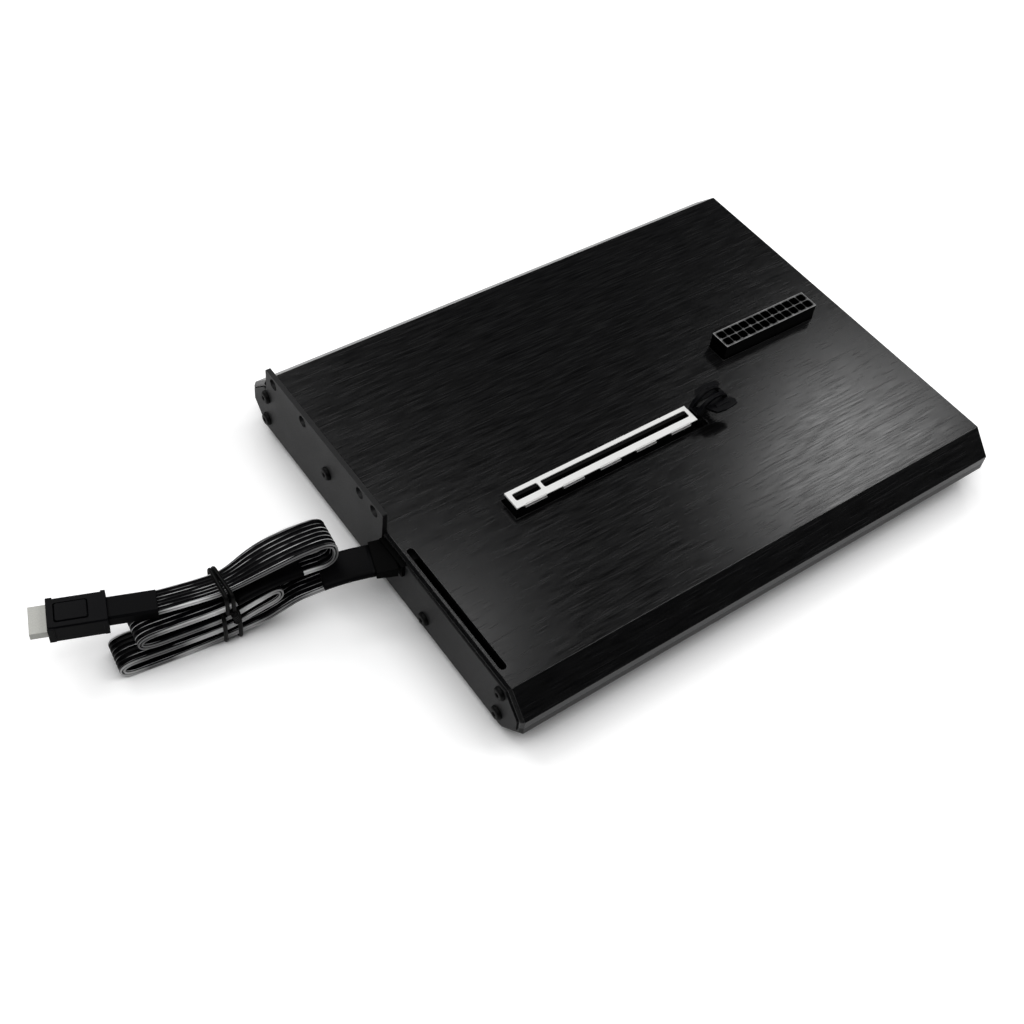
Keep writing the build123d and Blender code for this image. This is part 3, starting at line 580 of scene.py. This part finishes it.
def screwHead():
    shape = bmesh.new()
    corners = [shape.verts.new((x * mm, 0, z * mm)) for x, z in screw["outline"]]
    edges = [shape.edges.new(pair) for pair in zip(corners, corners[1:])]
    bmesh.ops.spin(shape, geom=corners + edges, cent=(0, 0, 0), axis=(0, 0, 1), dvec=(0, 0, 0),
                   angle=2 * math.pi, steps=screw["steps"], use_merge=True)
    bmesh.ops.remove_doubles(shape, verts=shape.verts, dist=0.001 * mm)
    top = screw["outline"][0][1] * mm
    inner = [edge for edge in shape.edges
             if edge.is_boundary and all(abs(v.co.z - top) < 0.001 * mm for v in edge.verts)]
    floor = bmesh.ops.create_circle(shape, cap_ends=True, segments=6, radius=screw["socket"] * mm,
                                    matrix=Matrix.Translation((0, 0, top - screw["socketDeep"] * mm)))
    rim = [edge for edge in shape.edges if all(v in floor["verts"] for v in edge.verts)]
    wall = bmesh.ops.extrude_edge_only(shape, edges=rim)["geom"]
    raised = [item for item in wall if isinstance(item, bmesh.types.BMVert)]
    bmesh.ops.translate(shape, verts=raised, vec=(0, 0, (screw["socketDeep"] - screw["socketDip"]) * mm))
    mouth = [item for item in wall
             if isinstance(item, bmesh.types.BMEdge) and all(v in raised for v in item.verts)]
    bmesh.ops.bridge_loops(shape, edges=inner + mouth)
    bmesh.ops.recalc_face_normals(shape, faces=shape.faces)
    for face in shape.faces:
        face.smooth = len(face.verts) == 4 and face.calc_center_median().z < top - 0.02 * mm
    head = bpy.data.meshes.new("screwHead")
    shape.to_mesh(head)
    shape.free()
    return head


def makeScrews():
    head = screwHead()
    black = screwFinish()
    for side, name in ((-1, "left_end_screws"), (1, "right_end_screws")):
        shape = bmesh.new()
        rows = [(y, screw["upperZ"]) for y in (screw["outerY"], screw["middleY"], -screw["outerY"])]
        rows += [(y, screw["lowerZ"]) for y in (screw["outerY"], -screw["middleY"], -screw["outerY"])]
        for number, (y, z) in enumerate(rows):
            before = len(shape.verts)
            shape.from_mesh(head)
            shape.verts.ensure_lookup_table()
            turn = Matrix.Rotation(side * math.pi / 2, 4, "Y") @ Matrix.Rotation(screw["turn"] * number, 4, "Z")
            place = Matrix.Translation((side * screw["plate"] * mm, y * mm, z * mm))
            bmesh.ops.transform(shape, matrix=place @ turn, verts=shape.verts[before:])
        newPiece(name.split("_")[0] + "EndScrews", shape, black, (name,))
    bpy.data.meshes.remove(head)


makeScrews()
print("screws done")

# card slot contacts: a row of sprung fingers on both walls of each gap
# a gap is (start, length) along the dock, in mm
contacts = {"y": -20.0, "half": 0.95, "pitch": 1.0, "width": 0.55, "thick": 0.3, "low": 24.2, "high": 28.6,
            "lean": 0.15, "first": 0.8, "offset": 0.25, "spare": 1, "gaps": ((-71.4, 11.65), (-58.15, 71.65))}


def makeContacts():
    shape = bmesh.new()
    tall = contacts["high"] - contacts["low"]
    for start, length in contacts["gaps"]:
        count = int((length - contacts["spare"]) / contacts["pitch"])
        for i in range(count):
            for side in (1, -1):
                x = start + contacts["first"] + i * contacts["pitch"] + (contacts["offset"] if side > 0 else 0.0)
                y = contacts["y"] + side * (contacts["half"] - contacts["thick"] / 2)
                place = Matrix.Translation(Vector((x, y, contacts["low"] + tall / 2)) * mm)
                size = Matrix.Diagonal((contacts["width"] * mm, contacts["thick"] * mm, tall * mm, 1))
                made = bmesh.ops.create_cube(shape, size=1.0, matrix=place @ size)["verts"]
                upper = [vertex for vertex in made if vertex.co.z > (contacts["low"] + tall / 2) * mm]
                bmesh.ops.translate(shape, verts=upper, vec=(0, side * contacts["lean"] * mm, 0))
    newPiece("contactFingers", shape, finish["goldPlate"], ("slot_contacts",))


makeContacts()
print("contacts done")

# pale floor, soft lamps and a dim room
stage = {"floor": (0.90, 0.90, 0.90), "patch": 3, "patchShown": (0.2, 0.8), "patchDark": 0.99, "size": 8.0,
         "floorLift": 0.5, "mirrorLift": 0.04, "far": (0.4, 1.6), "reach": 0.027, "shade": (0.42, 0.86),
         "room": (0.035, 0.036, 0.038)}
dockMiddle = (0, 0, 0)
lamps = {
    "windowGlow": {"toward": (0.622, 0.344, 0.703), "distance": 1.25, "aim": (0.06, -0.07, 0.028),
                   "size": 0.20, "power": 1.0},
    "softRight": {"toward": (0.66, -0.28, 0.70), "distance": 1.4, "aim": dockMiddle, "size": 0.9, "power": 8.2},
    "softBehind": {"toward": (-0.15, 0.72, 0.68), "distance": 1.4, "aim": dockMiddle, "size": 0.9, "power": 7.1},
    "softOverLeft": {"toward": (-0.50, -0.10, 0.86), "distance": 1.6, "aim": dockMiddle, "size": 1.2, "power": 8.3},
    "endGlow": {"toward": (0.305, 0.422, 0.852), "distance": 1.3, "aim": (-0.115, -0.055, 0.028),
                "size": 0.18, "power": 0.58},
}


def makeFloor():
    shape = bmesh.new()
    bmesh.ops.create_grid(shape, x_segments=1, y_segments=1, size=stage["size"] / 2)
    mesh = bpy.data.meshes.new("floor")
    shape.to_mesh(mesh)
    shape.free()
    floor = bpy.data.objects.new("floor", mesh)
    fixed = {"Roughness": 0.9, "Specular IOR Level": 0.0, "Emission Strength": 1.0}
    material, place, shader = newFinish("paleFloor", fixed)
    seen, mirrored, through = [place.node("ShaderNodeLightPath", None, None, name)
                               for name in ("Is Camera Ray", "Is Glossy Ray", "Is Transmission Ray")]
    patch = place.noise(stage["patch"], 2).between(*stage["patchShown"])
    darker = tuple(stage["patchDark"] * c for c in stage["floor"])
    place.feed(shader.inputs["Base Color"], patch.tint(darker, stage["floor"]))
    clear = place.node("ShaderNodeAmbientOcclusion", {"samples": 8}, {"Distance": stage["reach"]}, out="AO")
    away = place.node("ShaderNodeVectorMath", {"operation": "LENGTH"}, {0: place}, out="Value").between(*stage["far"])
    whole = stage["floorLift"] + (1 - stage["floorLift"]) * away   # full white far from the dock
    lift = (seen | through) * whole + mirrored * stage["mirrorLift"]
    # painted shadow: the floor's glow is dimmed by ambient occlusion near the dock
    place.feed(shader.inputs["Emission Color"], lift * clear.between(*stage["shade"]))
    mesh.materials.append(material)
    scene.collection.objects.link(floor)


def makeLamps():
    world = bpy.data.worlds.new("room")
    scene.world = world
    world.use_nodes = True
    path = world.node_tree.nodes.new("ShaderNodeLightPath")
    seen, through = [Wire(world.node_tree, path.outputs[name])
                     for name in ("Is Camera Ray", "Is Transmission Ray")]
    colour = (seen | through).tint(stage["room"], (1, 1, 1))
    seen.feed(world.node_tree.nodes["Background"].inputs["Color"], colour)
    for name, lamp in lamps.items():
        light = bpy.data.lights.new(name, "AREA")
        light.shape = "SQUARE"
        light.size = lamp["size"]
        light.energy = lamp["power"]
        holder = bpy.data.objects.new(name, light)
        toward = Vector(lamp["toward"]).normalized()
        turn = toward.to_track_quat("Z", "Y").to_matrix().to_4x4()
        holder.matrix_world = Matrix.Translation(Vector(lamp["aim"]) + toward * lamp["distance"]) @ turn
        scene.collection.objects.link(holder)


makeFloor()
makeLamps()
print("stage done")
